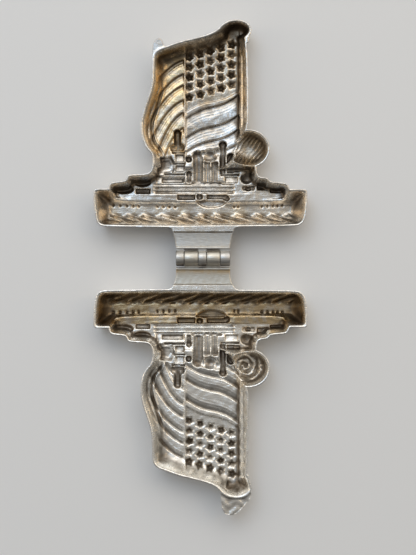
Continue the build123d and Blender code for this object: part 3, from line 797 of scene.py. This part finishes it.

# %% [markdown]
# ## The pewter
# Old pewter is grey and soft-bright. It is polished where hands and cloths reach it, and brown or
# golden where they don't. So one finish group mixes three colours: by how sunken a place is, by
# the grime, painted shade and gold noted on the vertices, and by slow noise. The dark colour is
# partly that tarnish and partly painted shade in recesses and on walls turned from the light, and
# the gold is partly a painted warm reflection. It also gives a roughness, and a height for fine
# casting grain and scratches.

# %% The finish group
def make_finish_group():
    """A node group that gives pewter's colour, roughness and grain height."""
    group = bpy.data.node_groups.new("pewter_finish", "ShaderNodeTree")
    face = group.interface
    for name, kind, value in (
        ("Position", "NodeSocketVector", None),
        ("Hollow", "NodeSocketFloat", 0.5),
        ("Grime And Shade", "NodeSocketFloat", 0.0),
        ("Gold Place", "NodeSocketFloat", 0.1),
        ("Bright", "NodeSocketColor", (0.62, 0.60, 0.56, 1.0)),
        # The dark colour serves both for tarnish and for painted shade.
        ("Tarnish And Shade", "NodeSocketColor", (0.16, 0.12, 0.08, 1.0)),
        ("Gold", "NodeSocketColor", (0.62, 0.46, 0.24, 1.0)),
        ("Tarnish Amount", "NodeSocketFloat", 0.5),
        ("Gold Amount", "NodeSocketFloat", 0.4),
        ("Base Roughness", "NodeSocketFloat", 0.3),
    ):
        socket = face.new_socket(name, in_out="INPUT", socket_type=kind)
        if value is not None:
            socket.default_value = value
    for name, kind in (
        ("Color", "NodeSocketColor"), ("Roughness", "NodeSocketFloat"),
        ("Height", "NodeSocketFloat"),
    ):
        face.new_socket(name, in_out="OUTPUT", socket_type=kind)
    nodes, link = group.nodes, group.links.new
    given = nodes.new("NodeGroupInput")
    result = nodes.new("NodeGroupOutput")

    def noise(scale, detail, rough=0.55, distortion=0.0):
        node = nodes.new("ShaderNodeTexNoise")
        node.inputs["Scale"].default_value = scale
        node.inputs["Detail"].default_value = detail
        node.inputs["Roughness"].default_value = rough
        node.inputs["Distortion"].default_value = distortion
        link(given.outputs["Position"], node.inputs["Vector"])
        return node.outputs["Fac"]

    def stretch(value, low, high, out_low=0.0, out_high=1.0):
        node = nodes.new("ShaderNodeMapRange")
        node.interpolation_type = "SMOOTHSTEP"
        for name, number in (
            ("From Min", low), ("From Max", high), ("To Min", out_low), ("To Max", out_high),
        ):
            node.inputs[name].default_value = number
        link(value, node.inputs["Value"])
        return node.outputs["Result"]

    def maths(operation, first, second):
        node = nodes.new("ShaderNodeMath")
        node.operation = operation
        for socket, value in zip(node.inputs, (first, second)):
            if isinstance(value, (int, float)):
                socket.default_value = value
            else:
                link(value, socket)
        return node.outputs[0]

    def mix(amount, first, second):
        node = nodes.new("ShaderNodeMix")
        node.data_type = "RGBA"
        link(amount, node.inputs["Factor"])
        link(first, node.inputs["A"])
        link(second, node.inputs["B"])
        return node.outputs["Result"]

    slow = stretch(noise(85.0, 5.0, 0.6, 0.8), 0.42, 0.62)
    cloud = stretch(noise(210.0, 5.0, 0.6, 0.6), 0.4, 0.7)
    pit = stretch(given.outputs["Hollow"], 0.42, 0.95)
    # The gold is partly golden tarnish and partly painted warm reflection.
    gold_mask = maths("MULTIPLY", slow, given.outputs["Gold Amount"])
    gold_mask = maths("ADD", maths("MULTIPLY", gold_mask, 0.35), given.outputs["Gold Place"])
    gold_mask = maths("MULTIPLY", gold_mask, maths("ADD", maths("MULTIPLY", cloud, -0.5), 1.0))
    # Sunken places darken: patina in the hollows, and painted shade in recesses and creases. The
    # grime mask adds grime and painted shade.
    dark_mask = maths("ADD", maths("MULTIPLY", pit, 0.9), maths("MULTIPLY", cloud, 0.3))
    dark_mask = maths("MULTIPLY", dark_mask, given.outputs["Tarnish Amount"])
    patches = maths("ADD", maths("MULTIPLY", slow, 0.35), 0.65)
    dark_mask = maths("ADD", dark_mask, maths("MULTIPLY", patches, given.outputs["Grime And Shade"]))
    dark_mask = maths("MINIMUM", dark_mask, 0.92)
    golden = mix(maths("MINIMUM", gold_mask, 1.0), given.outputs["Bright"], given.outputs["Gold"])
    color = mix(dark_mask, golden, given.outputs["Tarnish And Shade"])
    link(color, result.inputs["Color"])
    grain = noise(1500.0, 3.0, 0.6)
    lay = nodes.new("ShaderNodeMapping")
    lay.inputs["Rotation"].default_value = (0.0, 0.0, radians(-38.0))
    lay.inputs["Scale"].default_value = (260.0, 1900.0, 700.0)
    link(given.outputs["Position"], lay.inputs["Vector"])
    streak = nodes.new("ShaderNodeTexNoise")
    streak.inputs["Scale"].default_value = 1.0
    streak.inputs["Detail"].default_value = 3.0
    link(lay.outputs["Vector"], streak.inputs["Vector"])
    worn = maths("ADD", given.outputs["Base Roughness"], maths("MULTIPLY", cloud, 0.14))
    worn = maths("ADD", worn, maths("MULTIPLY", pit, 0.12))
    link(worn, result.inputs["Roughness"])
    lumps = noise(420.0, 3.0, 0.5)
    height = maths("ADD", maths("MULTIPLY", grain, 0.2), maths("MULTIPLY", lumps, 0.3))
    height = maths("ADD", height, maths("MULTIPLY", streak.outputs["Fac"], 0.42))
    link(height, result.inputs["Height"])
    return group


finish_group = make_finish_group()
print("nodes in the finish group:", len(finish_group.nodes))


def metal_material(name, settings, bump, has_places=False):
    """A metal that takes its colour, roughness and grain from the finish group."""
    material = bpy.data.materials.new(name)
    material.use_nodes = True
    nodes, link = material.node_tree.nodes, material.node_tree.links.new
    shader = nodes["Principled BSDF"]
    shader.inputs["Metallic"].default_value = 1.0
    place = nodes.new("ShaderNodeTexCoord")
    finish = nodes.new("ShaderNodeGroup")
    finish.node_tree = finish_group
    link(place.outputs["Object"], finish.inputs["Position"])
    for key, value in settings.items():
        finish.inputs[key].default_value = value
    if has_places:
        for attribute_name, socket in zip(MASKS, ("Hollow", "Grime And Shade", "Gold Place")):
            reader = nodes.new("ShaderNodeAttribute")
            reader.attribute_name = attribute_name
            link(reader.outputs["Fac"], finish.inputs[socket])
    relief = nodes.new("ShaderNodeBump")
    relief.inputs["Strength"].default_value = bump
    relief.inputs["Distance"].default_value = 0.0005
    link(finish.outputs["Height"], relief.inputs["Height"])
    link(finish.outputs["Color"], shader.inputs["Base Color"])
    link(finish.outputs["Roughness"], shader.inputs["Roughness"])
    link(relief.outputs["Normal"], shader.inputs["Normal"])
    return material


# In each finish the dark colour stands for tarnish and painted shade, and the gold for golden
# tarnish and painted warm reflection.
upper_pewter = metal_material("pewter_upper", {
    "Bright": (0.73, 0.70, 0.65, 1.0), "Tarnish And Shade": (0.105, 0.078, 0.052, 1.0),
    "Gold": (0.66, 0.49, 0.28, 1.0), "Tarnish Amount": 0.88, "Gold Amount": 0.75,
    "Base Roughness": 0.17,
}, 0.5, True)
lower_pewter = metal_material("pewter_lower", {
    "Bright": (0.90, 0.875, 0.82, 1.0), "Tarnish And Shade": (0.125, 0.09, 0.056, 1.0),
    "Gold": (0.62, 0.46, 0.26, 1.0), "Tarnish Amount": 0.9, "Gold Amount": 0.4,
    "Base Roughness": 0.22,
}, 0.5, True)
leaf_pewter = metal_material("pewter_hinge", {
    "Bright": (0.56, 0.545, 0.51, 1.0), "Tarnish And Shade": (0.06, 0.045, 0.032, 1.0),
    "Tarnish Amount": 0.3, "Gold Amount": 0.25, "Base Roughness": 0.34,
}, 0.45, True)
lower_leaf_pewter = metal_material("pewter_lower_hinge", {
    "Bright": (0.61, 0.58, 0.51, 1.0), "Tarnish And Shade": (0.06, 0.045, 0.032, 1.0),
    "Gold": (0.52, 0.38, 0.22, 1.0), "Tarnish Amount": 0.3, "Gold Amount": 0.5,
    "Base Roughness": 0.36,
}, 0.45, True)
pin_iron = metal_material("pin_iron", {
    "Bright": (0.36, 0.34, 0.32, 1.0), "Tarnish And Shade": (0.10, 0.07, 0.05, 1.0),
    "Tarnish Amount": 0.8, "Gold Amount": 0.1, "Base Roughness": 0.4,
}, 0.6)
solder = metal_material("solder", {
    "Bright": (0.50, 0.48, 0.45, 1.0), "Tarnish And Shade": (0.12, 0.09, 0.06, 1.0),
    "Tarnish Amount": 0.9, "Gold Amount": 0.3, "Base Roughness": 0.38,
}, 0.6)
castings["upper"].data.materials.append(upper_pewter)
castings["lower"].data.materials.append(lower_pewter)
print("materials:", [material.name for material in bpy.data.materials])

# %% Finish the hinge
leaves["upper"].data.materials.append(leaf_pewter)
leaves["lower"].data.materials.append(lower_leaf_pewter)
for node, material in (
    ("hinge_pin", pin_iron), ("upper_solder_seam", solder), ("lower_solder_seam", solder),
):
    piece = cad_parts[node]
    piece.data.materials.clear()
    piece.data.materials.append(material)
print("hinge pieces finished:", len(leaves) + 3)

# %% [markdown]
# ## Floor, light and camera
# Metal shows what stands round it, so the light matters as much as the finish. One large soft
# panel beyond the upper half brightens every wall that faces it, and three small tinted ones add
# colour. For light and reflections the world brightens towards that side too, from dark to pale.
# Only the camera sees it pale and even. So the metal reflects a dark side that the picture doesn't
# show behind it, and under an even, pale surround it would look flatter than it does here.

# %% Floor
def stage_material():
    """A pale, matt floor."""
    material = bpy.data.materials.new("floor_paint")
    material.use_nodes = True
    shader = material.node_tree.nodes["Principled BSDF"]
    shader.inputs["Base Color"].default_value = (0.76, 0.76, 0.755, 1.0)
    shader.inputs["Roughness"].default_value = 0.9
    return material


bm = bmesh.new()
bmesh.ops.create_grid(bm, x_segments=1, y_segments=1, size=3.0)
floor_mesh = bpy.data.meshes.new("floor")
bm.to_mesh(floor_mesh)
bm.free()
floor = bpy.data.objects.new("floor", floor_mesh)
floor_mesh.materials.append(stage_material())
bpy.context.scene.collection.objects.link(floor)
print("stage:", floor.name)

# %% Light
def panel(name, place, target, size, power, color):
    """A soft rectangular lamp aimed at a point."""
    lamp = bpy.data.lights.new(name, "AREA")
    lamp.shape = "RECTANGLE"
    lamp.size, lamp.size_y = size
    lamp.energy = power
    lamp.color = color
    obj = bpy.data.objects.new(name, lamp)
    obj.location = place
    aim = Vector(target) - Vector(place)
    obj.rotation_euler = aim.to_track_quat("-Z", "Y").to_euler()
    bpy.context.scene.collection.objects.link(obj)
    return obj


panel("key_panel", (0.0, 1.0, 0.95), (0.0, 0.0, 0.0), (1.7, 0.9), 6.0, (1.0, 0.97, 0.93))
panel("cool_panel", (-0.45, 0.55, 1.25), (0.0, 0.0, 0.0), (0.6, 0.9), 2.5, (0.42, 0.67, 1.0))
panel("warm_panel", (0.85, 0.3, 0.8), (0.0, 0.0, 0.0), (0.3, 0.8), 1.3, (1.0, 0.76, 0.46))
panel("low_warm_panel", (-1.0, 0.2, 0.55), (0.0, 0.0, 0.0), (0.25, 0.6), 0.9, (1.0, 0.82, 0.6))

world = bpy.data.worlds.new("studio")
bpy.context.scene.world = world
world.use_nodes = True
nodes, link = world.node_tree.nodes, world.node_tree.links.new
sky = nodes["Background"]
direction = nodes.new("ShaderNodeTexCoord")
split = nodes.new("ShaderNodeSeparateXYZ")
link(direction.outputs["Generated"], split.inputs["Vector"])
ramp = nodes.new("ShaderNodeMapRange")
ramp.inputs["From Min"].default_value = -0.9
ramp.inputs["From Max"].default_value = 0.85
ramp.inputs["To Min"].default_value = 0.08
ramp.inputs["To Max"].default_value = 0.85
link(split.outputs["Y"], ramp.inputs["Value"])
seen = nodes.new("ShaderNodeLightPath")
choose = nodes.new("ShaderNodeMix")
choose.data_type = "FLOAT"
link(seen.outputs["Is Camera Ray"], choose.inputs["Factor"])
link(ramp.outputs["Result"], choose.inputs["A"])
choose.inputs["B"].default_value = 0.8
link(choose.outputs["Result"], sky.inputs["Strength"])
sky.inputs["Color"].default_value = (1.0, 0.99, 0.97, 1.0)


print("lamps:", len(bpy.data.lights))

# %% Camera
lens_angle = 27.6
distance = 0.62
tilt = 0.6
target = Vector((4.3 * MM, -5.8 * MM, PARTING_Z * MM))
camera_data = bpy.data.cameras.new("camera")
camera_data.sensor_fit = "VERTICAL"
camera_data.sensor_height = 24.0
camera_data.lens = 12.0 / tan(radians(lens_angle / 2))
camera = bpy.data.objects.new("camera", camera_data)
camera.location = target + distance * Vector((0.0, -sin(radians(tilt)), cos(radians(tilt))))
camera.rotation_euler = (radians(tilt), 0.0, 0.0)
bpy.context.scene.collection.objects.link(camera)
bpy.context.scene.camera = camera
bpy.context.scene.view_settings.view_transform = "Standard"
print("lens:", round(camera_data.lens, 1), "mm")
